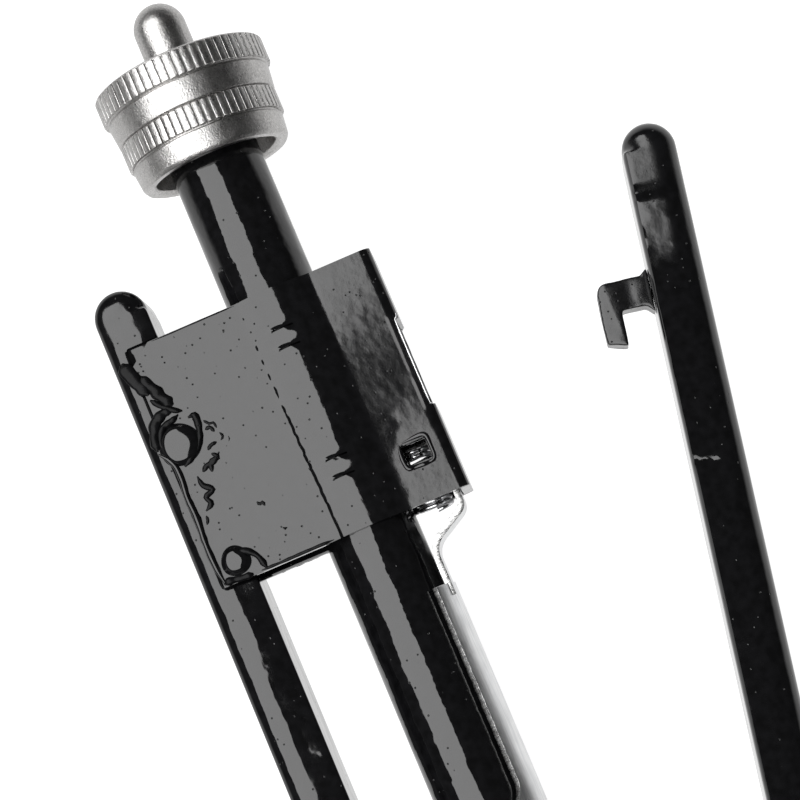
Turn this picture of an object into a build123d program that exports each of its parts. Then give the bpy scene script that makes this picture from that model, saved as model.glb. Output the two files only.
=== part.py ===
from build123d import *
from math import cos, pi, radians, sin, tan
import os

# Safety-wire twisting pliers, nine-inch size, standing open.
# The origin is the centre of the pivot rivet's lower flat face, Z is the pivot axis, +X runs to the
# jaw tips and +Y to the moving handle. Millimetres and degrees.

# ---- driving dimensions -----------------------------------------------------------------------
MID_Z = 8.6             # middle plane of the tool above the rivet's lower face
OPEN_ANGLE = 11.0       # moving handle, from parallel to standing open
HALF_DEPTH = 5.5        # half the depth of handles, head and jaws
RUN_GAP = 0.05          # running gap between sliding flat faces

# handles
END_X = -162.4          # rounded rear end
FLAT_Y = 13.8           # inner flat, from the tool's centre line
HANDLE_W = 6.45         # flat to outer side
OUTER_R = 3.1
BEND_X = -38.0          # where the handle turns in towards the pivot
BEND_R = 22.0
NECK_ANGLE = 22.0

# head and jaws
LAP_R = 13.0            # half-lap disc round the pivot
LAP_CLEAR = 0.3
PIVOT_R = 3.0
TIP_X = 43.0
TIP_H = 4.8
TIP_HALF_DEPTH = 3.2
TAPER_X = 16.0          # the jaws thin down from here
CUTTER_X = 14.2
CUTTER_L = 5.2
TEETH_X = 21.6
TOOTH_PITCH = 1.2
TOOTH_COUNT = 17
TOOTH_SIZE = 0.55

# barrel tube and yoke
TUBE_R = 5.5
TUBE_BORE_R = 4.5
TUBE_REAR_X = -178.5
TUBE_FRONT_X = -21.0
STRAP_T = 1.2
STRAP_GAP = 0.05
BAND_REAR_X = -34.0
BAND_FRONT_X = -24.0
EAR_R = 7.5
EAR_NECK = 4.2          # half width of the ears behind the head
EAR_FLARE_X = -20.0
YOKE_PIN_X = -29.0
YOKE_PIN_R = 1.2
RIVET_HEAD_R = 6.0

# lock bracket, one folded sheet open towards the fixed handle
SHEET_T = 1.2
BRACKET_X = -155.0
BRACKET_L = 29.8
BRACKET_HALF = 5.8      # outer face of the flat plates
BRACKET_CREST = 6.8     # outer face over the tube
BRACKET_EDGE_Y = -17.7  # free edges, on the fixed handle
WALL_Y = 12.75          # outer face of the wall that closes the fold
FOLD_R = 2.0
CREASE_LEFT_Y = -4.0
CREASE_RIGHT_Y = 4.8
SLOT_X = -146.2         # slot in the wall for the hook
SLOT_L = 10.8
SLOT_HALF = 4.4
WINDOW_X = -132.2
WINDOW_L = 2.5
WINDOW_Y = 8.6
WINDOW_W = 3.0
CRIMP_XS = (-149.0, -132.8)
CRIMP_GAP = 2.3
CRIMP_SLIT = 0.45
CRIMP_W = 2.6
RIVETS = ((-142.5, -16.1, 1.3), (-127.6, -15.3, 0.9))  # x, y, shank radius
RIVET_RIM = 0.7         # head beyond the shank
RIVET_HEAD_H = 0.75
CORNER_CUT = (2.0, 2.6) # cut off the rear corners of the free edges, along X and Y
SEAT_D = 5.0            # depth of the flats milled on the fixed handle for the plates

# hook on the moving handle, in the closed position
ARM_X = -145.1
ARM_W = 3.6
HOOK_INNER_Y = 7.5
HOOK_LEG_Y = 9.95
HOOK_TIP_X = -137.4
HOOK_HALF = 2.0

# lock slide, its spring
SLIDE_T = 0.8
SLIDE_R = 5.9           # inner radius of the trough
SLIDE_REAR_X = -115.9
SLIDE_WING_X = -92.0
SLIDE_FRONT_X = -72.0
TROUGH_Y = 4.35         # edges of the trough
WING_Y = -1.8           # edges of the wings that clip round the tube
LIP_H = 3.2             # finger lip
LIP_Y = 2.0
LIP_HALF = 6.2
STRIP_Y = 5.6
STRIP_HALF = 3.0
STRIP_RISE_X = -120.6   # the strip leaves the tube here
LATCH_Y = 10.6
LATCH_X = -135.6
LOCK_WIRE = 0.6
LOCK_COIL_R = 1.9       # to the wire's centre
LOCK_COIL_Y = 8.1
LOCK_TURNS = 6
LOCK_SPRING_L = 7.9

# leaf spring, drawn in the moving half's frame
LEAF_T = 0.7
LEAF_HALF = 3.5
LEAF_RIVET_X = -74.0
LEAF_RIVET_R = 1.5
LEAF_TAB = 4.0          # flat of the leaf either side of its rivet
LEAF_POINTS = ((-58.0, -8.6), (-44.5, 1.9), (-41.5, -0.2))

# twist drive inside the tube
ROD_SIDE = 4.0
ROD_LEAD = 40.0         # travel for one turn
ROD_FRONT_X = -40.0
ROD_REAR_X = -181.0
TENON_R = 1.7
STOP_X = -36.5
STOP_L = 2.0
STOP_R = 3.4
FOLLOWER_L = 2.0
NUT_L = 8.0
NUT_PLAY = 0.1
FIT = 0.02              # radial gap of parts that are pressed together
RETURN_WIRE = 0.8
RETURN_COIL_R = 3.75
RETURN_TURNS = 22

# knob and spindle cap
KNOB_TOP_X = -184.9
KNOB_RIM_X = -172.1
KNOB_R = 10.65
GROOVE_R = 10.2
BAND_R = 9.85
SKIRT_R = 9.5
RIM_R = 8.9
KNOB_BORE_R = 7.6
KNOB_WEB = 3.0
CAP_R = 3.175
CAP_SHANK_R = 2.5       # the cap's shank, pressed through the knob's web
CAP_TIP_X = -193.2
GROOVE_X = KNOB_TOP_X + 3.7     # end of the first knurled band
BAND_X = KNOB_TOP_X + 6.7       # start of the second
SKIRT_X = KNOB_TOP_X + 9.8      # end of the second

os.makedirs("parts", exist_ok=True)


# ---- frames -----------------------------------------------------------------------------------
# A half of the pliers is drawn with its handle at -Y and its jaw at +Y. The moving half is the same
# forging turned over about X and swung open about the pivot.
FIXED = Plane(origin=(0, 0, MID_Z), x_dir=(1, 0, 0), z_dir=(0, 0, 1))
OPEN_X_DIR = (cos(radians(OPEN_ANGLE)), -sin(radians(OPEN_ANGLE)), 0)
MOVING = Plane(origin=(0, 0, MID_Z), x_dir=OPEN_X_DIR, z_dir=(0, 0, -1))
BARREL_AXIS = Axis((0, 0, MID_Z), (1, 0, 0))


def across(frame, x):
    """Section plane at x of a frame: its x is the frame's y, its y the frame's z."""
    return Plane(origin=frame.from_local_coords((x, 0, 0)), x_dir=frame.y_dir, z_dir=frame.x_dir)


def along(frame):
    """Lengthwise upright plane of a frame: its x is the frame's x, its y the frame's z."""
    return Plane(origin=frame.origin, x_dir=frame.x_dir, z_dir=-frame.y_dir)


def ring(frame, start_x, length, outer_r, inner_r):
    """Plain ring or disc about the barrel axis."""
    with BuildPart() as piece:
        with BuildSketch(across(frame, start_x)):
            Circle(outer_r)
            if inner_r > 0:
                Circle(inner_r, mode=Mode.SUBTRACT)
        extrude(amount=length)
    return piece.part


def coil(start, length, turns, coil_radius, wire):
    """Compression spring along +X from a start point."""
    reach = length - wire
    first = Vector(*start) + Vector(wire / 2, 0, 0)
    with BuildPart() as spring:
        with BuildLine() as path:
            Helix(pitch=reach / turns, height=reach, radius=coil_radius, center=first, direction=(1, 0, 0))
        with BuildSketch(Plane(origin=path.line @ 0, z_dir=path.line % 0)):
            Circle(wire / 2)
        sweep(path=path.line, is_frenet=True)
    return spring.part


# ---- jaw and handle forging, used twice ---------------------------------------------------------
def handle_section(inner_y, outer_y):
    """Handle section between two y values: square at the inner flat, well rounded on the outer side."""
    with BuildSketch() as section:
        with Locations(((inner_y + outer_y) / 2, 0)):
            Rectangle(inner_y - outer_y, 2 * HALF_DEPTH)
        fillet(section.vertices().group_by(Axis.X)[0], OUTER_R)
    return section.sketch


def jaw_blank():
    """Lap disc and jaw at full depth, thinned towards the tip."""
    with BuildPart() as blank:
        with BuildSketch(FIXED):
            Circle(LAP_R)
            with BuildLine():
                Polyline((2.5, LAP_R - 0.3), (TIP_X - 1.0, TIP_H), (TIP_X, TIP_H - 1.4), (TIP_X, RUN_GAP),
                         (0, RUN_GAP), (0, LAP_R - 2), close=True)
            make_face()
        extrude(amount=HALF_DEPTH, both=True)
        with BuildSketch(along(FIXED)):
            for side in (1, -1):
                with BuildLine():
                    Polyline((TAPER_X, side * HALF_DEPTH), (TIP_X + 1, side * TIP_HALF_DEPTH),
                             (TIP_X + 1, side * 8), (TAPER_X, side * 8), close=True)
                make_face()
        extrude(amount=2 * LAP_R, both=True, mode=Mode.SUBTRACT)
    return blank.part


def forge_half():
    """The forging of the fixed half, before anything is fastened to it."""
    neck_x = -8.0
    neck_y = -FLAT_Y + (neck_x - BEND_X) * tan(radians(NECK_ANGLE))
    outer_y = -FLAT_Y - HANDLE_W
    middle_y = -FLAT_Y - HANDLE_W / 2
    nose_x = END_X + HANDLE_W / 2
    with BuildPart() as half:
        # handle, one section swept along the line of its inner flat
        with BuildLine(FIXED) as spine:
            FilletPolyline((nose_x, -FLAT_Y), (BEND_X, -FLAT_Y), (neck_x, neck_y), radius=BEND_R)
        with BuildSketch(across(FIXED, nose_x)):
            add(handle_section(-FLAT_Y, outer_y))
        sweep(path=spine.line)
        # rounded rear end
        with BuildSketch(across(FIXED, nose_x)):
            add(handle_section(middle_y, outer_y))
        revolve(axis=Axis((nose_x, middle_y, MID_Z), (0, 0, -1)), revolution_arc=180)
        add(jaw_blank())
        # half lap and pivot hole
        with BuildSketch(FIXED.offset(-RUN_GAP)):
            Circle(LAP_R + LAP_CLEAR)
        extrude(amount=2 * HALF_DEPTH, mode=Mode.SUBTRACT)
        with BuildSketch(FIXED):
            Circle(PIVOT_R + FIT)
        extrude(amount=2 * HALF_DEPTH, both=True, mode=Mode.SUBTRACT)
        # side cutter: both faces bevelled back from a narrow edge
        with BuildSketch(across(FIXED, CUTTER_X)):
            for side in (1, -1):
                with BuildLine():
                    Polyline((0, side * 0.25), (0, side * 6), (5.4, side * 6), close=True)
                make_face()
        extrude(amount=CUTTER_L, mode=Mode.SUBTRACT)
        # gripping teeth
        with BuildSketch(FIXED):
            with Locations(*[(TEETH_X + i * TOOTH_PITCH, RUN_GAP) for i in range(TOOTH_COUNT)]):
                Rectangle(TOOTH_SIZE, TOOTH_SIZE, rotation=45)
        extrude(amount=HALF_DEPTH, both=True, mode=Mode.SUBTRACT)
    return half.part


forging = forge_half()
TURN_OVER = MOVING.location * FIXED.location.inverse()

# fixed half: seats for the bracket's plates, holes for its rivets
with BuildPart() as fixed_jaw_handle:
    add(forging)
    seat_z = BRACKET_HALF - SHEET_T
    for side in (1, -1):
        with BuildSketch(FIXED.offset(side * seat_z)):
            with Locations((BRACKET_X + BRACKET_L / 2, BRACKET_EDGE_Y + SEAT_D / 2 - 0.2)):
                Rectangle(BRACKET_L + 0.4, SEAT_D)
        extrude(amount=side * SHEET_T, mode=Mode.SUBTRACT)
    with BuildSketch(FIXED):
        for x, y, shank_r in RIVETS:
            with Locations((x, y)):
                Circle(shank_r + FIT)
    extrude(amount=HALF_DEPTH, both=True, mode=Mode.SUBTRACT)
fixed_jaw_handle.part.label = "fixed_jaw_handle"
export_step(fixed_jaw_handle.part, "parts/fixed_jaw_handle.step")

with BuildPart() as moving_jaw_handle:
    add(forging.moved(TURN_OVER))
    with BuildSketch(Plane(origin=MOVING.from_local_coords((LEAF_RIVET_X, -FLAT_Y, 0)), x_dir=MOVING.x_dir,
                           z_dir=MOVING.y_dir)):
        Circle(LEAF_RIVET_R + FIT)
    extrude(amount=-4.0, mode=Mode.SUBTRACT)
moving_jaw_handle.part.label = "moving_jaw_handle"
export_step(moving_jaw_handle.part, "parts/moving_jaw_handle.step")


# ---- pivot and yoke -----------------------------------------------------------------------------
with BuildPart() as pivot_rivet:
    ear_out = HALF_DEPTH + STRAP_GAP + STRAP_T
    head_h = MID_Z - ear_out
    with BuildSketch(along(FIXED)):
        with BuildLine():
            Polyline((0, -MID_Z), (RIVET_HEAD_R - 0.8, -MID_Z), (RIVET_HEAD_R, -MID_Z + 0.8),
                     (RIVET_HEAD_R, -ear_out), (PIVOT_R, -ear_out), (PIVOT_R, ear_out),
                     (RIVET_HEAD_R, ear_out), (RIVET_HEAD_R, MID_Z - 0.8), (RIVET_HEAD_R - 0.8, MID_Z),
                     (0, MID_Z), close=True)
        make_face()
    revolve(axis=Axis.Z)
pivot_rivet.part.label = "pivot_rivet"
export_step(pivot_rivet.part, "parts/pivot_rivet.step")

EAR_TANGENT_Y = 6.87
band_in = TUBE_R + STRAP_GAP
band_out = band_in + STRAP_T
with BuildPart() as front_yoke:
    add(ring(FIXED, BAND_REAR_X, BAND_FRONT_X - BAND_REAR_X, band_out, band_in))
    for side in (1, -1):
        with BuildSketch(FIXED.offset(side * (HALF_DEPTH + STRAP_GAP))):
            Circle(EAR_R)
            with BuildLine():
                Polyline((BAND_REAR_X, -EAR_NECK), (EAR_FLARE_X, -EAR_NECK), (-3, -EAR_TANGENT_Y),
                         (-3, EAR_TANGENT_Y), (EAR_FLARE_X, EAR_NECK), (BAND_REAR_X, EAR_NECK), close=True)
            make_face()
            Circle(PIVOT_R + FIT, mode=Mode.SUBTRACT)
        extrude(amount=side * STRAP_T)
    with BuildSketch(along(FIXED)):
        with Locations((YOKE_PIN_X, 0)):
            Circle(YOKE_PIN_R + FIT)
    extrude(amount=10, both=True, mode=Mode.SUBTRACT)
front_yoke.part.label = "front_yoke"
export_step(front_yoke.part, "parts/front_yoke.step")

with BuildPart() as yoke_pin:
    with BuildSketch(along(FIXED)):
        with Locations((YOKE_PIN_X, 0)):
            Circle(YOKE_PIN_R)
    extrude(amount=band_out + 0.1, both=True)
    for face in yoke_pin.faces().sort_by(Axis.Y)[0::2]:
        with BuildSketch(Plane(face)):
            Circle(YOKE_PIN_R + 0.7)
        extrude(amount=0.6)
yoke_pin.part.label = "yoke_pin"
export_step(yoke_pin.part, "parts/yoke_pin.step")


# ---- barrel --------------------------------------------------------------------------------------
NUT_PIN_X = TUBE_REAR_X + 3.5
NUT_PIN_R = 0.8
with BuildPart() as barrel_tube:
    add(ring(FIXED, TUBE_REAR_X, TUBE_FRONT_X - TUBE_REAR_X, TUBE_R, TUBE_BORE_R))
    with BuildSketch(along(FIXED)):
        with Locations((YOKE_PIN_X, 0)):
            Circle(YOKE_PIN_R + FIT)
    extrude(amount=10, both=True, mode=Mode.SUBTRACT)
    with BuildSketch(along(FIXED)):
        with Locations((NUT_PIN_X, 0)):
            Circle(NUT_PIN_R + FIT)
    extrude(amount=-10, mode=Mode.SUBTRACT)
barrel_tube.part.label = "barrel_tube"
export_step(barrel_tube.part, "parts/barrel_tube.step")

PLUG_REAR_X = YOKE_PIN_X - 4.0
with BuildPart() as tube_plug:
    add(ring(FIXED, PLUG_REAR_X, TUBE_FRONT_X - 0.5 - PLUG_REAR_X, TUBE_BORE_R - FIT, 0))
    with BuildSketch(along(FIXED)):
        with Locations((YOKE_PIN_X, 0)):
            Circle(YOKE_PIN_R + FIT)
    extrude(amount=10, both=True, mode=Mode.SUBTRACT)
tube_plug.part.label = "tube_plug"
export_step(tube_plug.part, "parts/tube_plug.step")


# ---- twist drive ---------------------------------------------------------------------------------
def twisted_bar(start_x, length, side):
    """Square bar twisted about the barrel axis, in phase with every other one made here."""
    phase = 360 * (start_x - ROD_FRONT_X) / ROD_LEAD
    with BuildSketch(across(FIXED, start_x)) as square:
        Rectangle(side, side, rotation=phase)
    return Solid.extrude_linear_with_rotation(
        square.sketch.faces()[0], (start_x, 0, MID_Z), (length, 0, 0), 360 * length / ROD_LEAD
    )


rod_bar = twisted_bar(ROD_REAR_X, ROD_FRONT_X - ROD_REAR_X, ROD_SIDE)
nut_bore = twisted_bar(TUBE_REAR_X - 1, NUT_L + 2, ROD_SIDE + 2 * NUT_PLAY)


with BuildPart() as drive_nut:
    add(ring(FIXED, TUBE_REAR_X, NUT_L, TUBE_BORE_R - FIT, 0))
    add(nut_bore, mode=Mode.SUBTRACT)
    with BuildSketch(along(FIXED).offset(-3.3)):
        with Locations((NUT_PIN_X, 0)):
            Circle(NUT_PIN_R + FIT)
    extrude(amount=-5, mode=Mode.SUBTRACT)
drive_nut.part.label = "drive_nut"
export_step(drive_nut.part, "parts/drive_nut.step")

with BuildPart() as nut_pin:
    with BuildSketch(along(FIXED).offset(-3.4)):
        with Locations((NUT_PIN_X, 0)):
            Circle(NUT_PIN_R)
    extrude(amount=-1.9)
nut_pin.part.label = "nut_pin"
export_step(nut_pin.part, "parts/nut_pin.step")

FOLLOWER_X = STOP_X - FOLLOWER_L
with BuildPart() as twist_rod:
    add(rod_bar)
    add(ring(FIXED, ROD_FRONT_X, STOP_X + STOP_L - ROD_FRONT_X, TENON_R, 0))
    add(ring(FIXED, ROD_REAR_X - 6.0, 6.0, TENON_R, 0))
twist_rod.part.label = "twist_rod"
export_step(twist_rod.part, "parts/twist_rod.step")

with BuildPart() as rod_stop:
    add(ring(FIXED, STOP_X, STOP_L, STOP_R, TENON_R + FIT))
rod_stop.part.label = "rod_stop"
export_step(rod_stop.part, "parts/rod_stop.step")

with BuildPart() as spring_follower:
    add(ring(FIXED, FOLLOWER_X, FOLLOWER_L - RUN_GAP, TUBE_BORE_R - 0.2, TENON_R + 0.08))
spring_follower.part.label = "spring_follower"
export_step(spring_follower.part, "parts/spring_follower.step")

NUT_FRONT_X = TUBE_REAR_X + NUT_L
with BuildPart() as return_spring:
    add(coil((NUT_FRONT_X, 0, MID_Z), FOLLOWER_X - NUT_FRONT_X, RETURN_TURNS, RETURN_COIL_R, RETURN_WIRE))
return_spring.part.label = "return_spring"
export_step(return_spring.part, "parts/return_spring.step")


# ---- knob and spindle cap ------------------------------------------------------------------------
with BuildPart() as knob:
    with BuildSketch(along(FIXED)):
        with BuildLine():
            Polyline((KNOB_TOP_X, CAP_SHANK_R + FIT), (KNOB_TOP_X, KNOB_R - 0.9),
                     (KNOB_TOP_X + 0.5, KNOB_R), (GROOVE_X, KNOB_R), (GROOVE_X + 0.1, GROOVE_R),
                     (BAND_X, GROOVE_R - 0.35), (BAND_X + 0.1, BAND_R), (SKIRT_X, BAND_R - 0.15),
                     (SKIRT_X + 0.1, SKIRT_R), (KNOB_RIM_X - 0.5, SKIRT_R - 0.3), (KNOB_RIM_X, RIM_R),
                     (KNOB_RIM_X, KNOB_BORE_R + 0.4), (KNOB_RIM_X - 0.4, KNOB_BORE_R),
                     (KNOB_TOP_X + KNOB_WEB, KNOB_BORE_R), (KNOB_TOP_X + KNOB_WEB, CAP_SHANK_R + FIT),
                     close=True)
        make_face()
    revolve(axis=BARREL_AXIS)
knob.part.label = "knob"
export_step(knob.part, "parts/knob.step")

with BuildPart() as spindle_cap:
    with BuildSketch(along(FIXED)):
        with BuildLine():
            Line((CAP_TIP_X, 0), (ROD_REAR_X, 0))
            Polyline((ROD_REAR_X, 0), (ROD_REAR_X, CAP_SHANK_R), (KNOB_TOP_X, CAP_SHANK_R),
                     (KNOB_TOP_X, CAP_R), (CAP_TIP_X + CAP_R, CAP_R))
            ThreePointArc((CAP_TIP_X + CAP_R, CAP_R),
                          (CAP_TIP_X + CAP_R * (1 - cos(pi / 4)), CAP_R * sin(pi / 4)), (CAP_TIP_X, 0))
        make_face()
    revolve(axis=BARREL_AXIS)
    add(ring(FIXED, ROD_REAR_X - 6.1, 6.1, TENON_R + FIT, 0), mode=Mode.SUBTRACT)
spindle_cap.part.label = "spindle_cap"
export_step(spindle_cap.part, "parts/spindle_cap.step")


# ---- lock bracket --------------------------------------------------------------------------------
with BuildPart() as lock_bracket:
    # the folded section, open towards the fixed handle, raised over the tube on both sides
    with BuildSketch(across(FIXED, BRACKET_X)):
        turn_y = WALL_Y - FOLD_R
        turn_z = BRACKET_HALF - FOLD_R
        slant = FOLD_R * sin(pi / 4)
        with BuildLine():
            Line((BRACKET_EDGE_Y, BRACKET_HALF), (CREASE_LEFT_Y, BRACKET_HALF))
            ThreePointArc((CREASE_LEFT_Y, BRACKET_HALF), (0.3, BRACKET_CREST), (CREASE_RIGHT_Y, BRACKET_HALF))
            Line((CREASE_RIGHT_Y, BRACKET_HALF), (turn_y, BRACKET_HALF))
            ThreePointArc((turn_y, BRACKET_HALF), (turn_y + slant, turn_z + slant), (WALL_Y, turn_z))
            Line((WALL_Y, turn_z), (WALL_Y, 0))
            mirror(about=Plane.XZ)
            offset(amount=SHEET_T, side=Side.RIGHT)
        make_face()
    extrude(amount=BRACKET_L)
    # slot in the wall for the hook
    with BuildSketch(along(FIXED).offset(-WALL_Y + FOLD_R)):
        with Locations((SLOT_X + SLOT_L / 2, 0)):
            Rectangle(SLOT_L, 2 * SLOT_HALF)
    extrude(amount=-2 * FOLD_R, mode=Mode.SUBTRACT)
    # windows in both plates, and the slits of the crimps over the tube
    with BuildSketch(FIXED):
        with Locations((WINDOW_X + WINDOW_L / 2, WINDOW_Y)):
            Rectangle(WINDOW_L, WINDOW_W)
        for x in CRIMP_XS:
            with Locations((x - CRIMP_GAP / 2, 0), (x + CRIMP_GAP / 2, 0)):
                Rectangle(CRIMP_SLIT, CRIMP_W)
    extrude(amount=BRACKET_CREST + 1, both=True, mode=Mode.SUBTRACT)
    # the windows' metal is turned inwards behind each window, as seats for the lock spring
    for side in (1, -1):
        with BuildSketch(FIXED.offset(side * (BRACKET_HALF - SHEET_T))):
            with Locations((WINDOW_X - SHEET_T / 2, WINDOW_Y)):
                Rectangle(SHEET_T, WINDOW_W - 0.2)
        extrude(amount=-side * 3.2)
    # rear corners of the free edges are cut off
    with BuildSketch(FIXED):
        with BuildLine():
            Polyline((BRACKET_X, BRACKET_EDGE_Y), (BRACKET_X + CORNER_CUT[0], BRACKET_EDGE_Y),
                     (BRACKET_X, BRACKET_EDGE_Y + CORNER_CUT[1]), close=True)
        make_face()
        for x, y, shank_r in RIVETS:
            with Locations((x, y)):
                Circle(shank_r + FIT)
    extrude(amount=BRACKET_CREST + 1, both=True, mode=Mode.SUBTRACT)
lock_bracket.part.label = "lock_bracket"
export_step(lock_bracket.part, "parts/lock_bracket.step")

with BuildPart() as bracket_rivets:
    for x, y, shank_r in RIVETS:
        with BuildSketch(FIXED):
            with Locations((x, y)):
                Circle(shank_r)
        extrude(amount=BRACKET_HALF, both=True)
        for side in (1, -1):
            with BuildSketch(FIXED.offset(side * BRACKET_HALF)):
                with Locations((x, y)):
                    Circle(shank_r + RIVET_RIM)
            extrude(amount=side * RIVET_HEAD_H, taper=32)
bracket_rivets.part.label = "bracket_rivets"
export_step(bracket_rivets.part, "parts/bracket_rivets.step")


# ---- hook ----------------------------------------------------------------------------------------
# Drawn in the moving half's frame, where the handle's flat is at -FLAT_Y.
with BuildPart() as latch_hook:
    with BuildSketch(MOVING):
        root = 0.9
        arm_front = ARM_X + ARM_W
        with BuildLine():
            Polyline((ARM_X - root, -FLAT_Y), (ARM_X, -FLAT_Y + root), (ARM_X, -HOOK_INNER_Y),
                     (HOOK_TIP_X - 0.6, -HOOK_INNER_Y), (HOOK_TIP_X, -HOOK_LEG_Y),
                     (arm_front, -HOOK_LEG_Y), (arm_front, -FLAT_Y + root),
                     (arm_front + root, -FLAT_Y), close=True)
        profile = make_face()
        fillet(profile.vertices().sort_by_distance((ARM_X, -HOOK_INNER_Y))[0], 1.3)
        fillet(profile.vertices().sort_by_distance((arm_front, -HOOK_LEG_Y))[0], 0.5)
    extrude(amount=HOOK_HALF, both=True)
latch_hook.part.label = "latch_hook"
export_step(latch_hook.part, "parts/latch_hook.step")


# ---- lock slide and its spring -------------------------------------------------------------------
with BuildPart() as lock_slide:
    # trough round the tube, with wings that clip round it at the front
    add(ring(FIXED, SLIDE_REAR_X, SLIDE_FRONT_X - SLIDE_REAR_X, SLIDE_R + SLIDE_T, SLIDE_R))
    with BuildSketch(FIXED):
        with BuildLine():
            Line((SLIDE_REAR_X - 1, TROUGH_Y), (SLIDE_WING_X, TROUGH_Y))
            Spline((SLIDE_WING_X, TROUGH_Y), (SLIDE_WING_X + 9, WING_Y), tangents=[(1, 0), (1, 0)])
            Line((SLIDE_WING_X + 9, WING_Y), (SLIDE_FRONT_X + 1, WING_Y))
            Polyline((SLIDE_FRONT_X + 1, WING_Y), (SLIDE_FRONT_X + 1, -9), (SLIDE_REAR_X - 1, -9),
                     (SLIDE_REAR_X - 1, TROUGH_Y))
        make_face()
    extrude(amount=10, both=True, mode=Mode.SUBTRACT)
    # finger lip at the front end
    with BuildSketch(across(FIXED, SLIDE_FRONT_X - SLIDE_T)):
        Circle(SLIDE_R + SLIDE_T + LIP_H)
        Circle(SLIDE_R, mode=Mode.SUBTRACT)
        with Locations((LIP_Y, 0)):
            Rectangle(12, 2 * LIP_HALF, align=(Align.MIN, Align.CENTER), mode=Mode.INTERSECT)
    extrude(amount=SLIDE_T)
    # flat strip on top of the tube that rises into the bracket and lies along its wall
    with BuildSketch(FIXED):
        with BuildLine():
            FilletPolyline((SLIDE_REAR_X + 1.5, STRIP_Y), (STRIP_RISE_X, STRIP_Y),
                           (STRIP_RISE_X - 2.8, LATCH_Y), (LATCH_X, LATCH_Y), radius=(3.0, 1.4))
            offset(amount=SLIDE_T, side=Side.RIGHT)
        make_face()
    extrude(amount=STRIP_HALF, both=True)
lock_slide.part.label = "lock_slide"
export_step(lock_slide.part, "parts/lock_slide.step")

with BuildPart() as lock_spring:
    add(coil((WINDOW_X + 0.1, LOCK_COIL_Y, MID_Z), LOCK_SPRING_L, LOCK_TURNS, LOCK_COIL_R, LOCK_WIRE))
lock_spring.part.label = "lock_spring"
export_step(lock_spring.part, "parts/lock_spring.step")


# ---- leaf spring that opens the handles ----------------------------------------------------------
def on_flat(y):
    """Plane along the moving handle's inner flat at the leaf's rivet, facing the tube."""
    origin = MOVING.from_local_coords((LEAF_RIVET_X, y, 0))
    return Plane(origin=origin, x_dir=MOVING.x_dir, z_dir=MOVING.y_dir)


with BuildPart() as leaf_spring:
    with BuildSketch(MOVING):
        with BuildLine():
            FilletPolyline((LEAF_RIVET_X - LEAF_TAB, -FLAT_Y), (LEAF_RIVET_X + LEAF_TAB, -FLAT_Y),
                           *LEAF_POINTS, radius=(6.0, 30.0, 1.5))
            offset(amount=LEAF_T, side=Side.LEFT)
        make_face()
    extrude(amount=LEAF_HALF, both=True)
    with BuildSketch(on_flat(-FLAT_Y - 1)):
        Circle(LEAF_RIVET_R + FIT)
    extrude(amount=3.0, mode=Mode.SUBTRACT)
leaf_spring.part.label = "leaf_spring"
export_step(leaf_spring.part, "parts/leaf_spring.step")

with BuildPart() as leaf_rivet:
    with BuildSketch(on_flat(-FLAT_Y - 3.9)):
        Circle(LEAF_RIVET_R)
    extrude(amount=3.9 + LEAF_T)
    with BuildSketch(on_flat(-FLAT_Y + LEAF_T)):
        Circle(2.6)
    extrude(amount=0.9, taper=30)
leaf_rivet.part.label = "leaf_rivet"
export_step(leaf_rivet.part, "parts/leaf_rivet.step")
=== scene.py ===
import math

import bmesh
import bpy
from mathutils import Matrix, Vector, noise


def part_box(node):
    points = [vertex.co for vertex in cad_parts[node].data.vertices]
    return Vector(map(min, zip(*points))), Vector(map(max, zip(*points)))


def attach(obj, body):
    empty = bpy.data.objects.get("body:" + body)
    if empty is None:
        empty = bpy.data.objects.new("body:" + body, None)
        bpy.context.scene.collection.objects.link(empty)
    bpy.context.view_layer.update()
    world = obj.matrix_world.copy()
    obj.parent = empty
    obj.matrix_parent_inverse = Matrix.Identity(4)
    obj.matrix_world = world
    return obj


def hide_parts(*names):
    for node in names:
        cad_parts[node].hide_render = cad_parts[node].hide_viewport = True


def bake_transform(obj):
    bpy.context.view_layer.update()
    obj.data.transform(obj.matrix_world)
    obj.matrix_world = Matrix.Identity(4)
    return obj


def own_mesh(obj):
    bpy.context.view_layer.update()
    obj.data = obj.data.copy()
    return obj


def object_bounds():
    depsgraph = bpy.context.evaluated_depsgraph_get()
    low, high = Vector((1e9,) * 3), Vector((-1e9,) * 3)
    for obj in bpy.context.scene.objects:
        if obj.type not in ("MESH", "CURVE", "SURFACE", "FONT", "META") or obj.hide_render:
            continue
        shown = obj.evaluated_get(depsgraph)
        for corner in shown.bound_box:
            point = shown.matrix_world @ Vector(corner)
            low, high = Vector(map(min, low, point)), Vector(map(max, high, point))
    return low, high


# Safety-wire twisting pliers, standing open on a pale table.
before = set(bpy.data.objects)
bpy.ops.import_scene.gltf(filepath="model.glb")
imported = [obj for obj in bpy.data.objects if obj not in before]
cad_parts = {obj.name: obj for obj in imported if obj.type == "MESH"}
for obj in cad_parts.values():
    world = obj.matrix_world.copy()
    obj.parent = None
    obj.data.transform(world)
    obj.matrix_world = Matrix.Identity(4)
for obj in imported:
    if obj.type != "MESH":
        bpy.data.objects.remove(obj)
cad_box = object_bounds()

# ---- measures, in metres, taken from the frame ---------------------------------------------------
MM = 0.001
tube_low, tube_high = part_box("barrel_tube")
AXIS = Vector((0, (tube_low.y + tube_high.y) / 2, (tube_low.z + tube_high.z) / 2))
bracket_low, bracket_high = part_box("lock_bracket")
knob_low, knob_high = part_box("knob")
rivets_low, rivets_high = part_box("bracket_rivets")

# Without a seed of its own, noise_vector starts from the clock and differs from run to run.
NOISE_SEED = 5
noise.seed_set(NOISE_SEED)


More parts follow.
